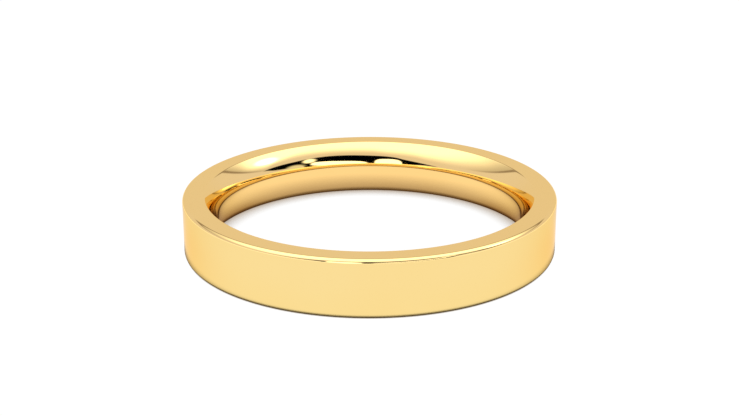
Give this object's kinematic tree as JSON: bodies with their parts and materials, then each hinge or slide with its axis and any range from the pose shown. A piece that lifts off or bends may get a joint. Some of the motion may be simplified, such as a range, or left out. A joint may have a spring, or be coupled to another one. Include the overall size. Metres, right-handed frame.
{
  "type": "wedding band",
  "caption": "Plain polished yellow gold finger ring with a flat outside, flat sides and a rounded court inside.",
  "frame": {"origin": "where the finger's axis meets the side face that the band lies on", "axes": "+Z along the finger's axis, up from the side face that the band lies on; X and Y are alike, because the band is turned about Z"},
  "size_m": [0.0197, 0.0196, 0.003],
  "materials": {
    "polished_gold": "polished"
  },
  "bodies": {
    "root": {"band": "polished_gold"}
  },
  "joints": []
}
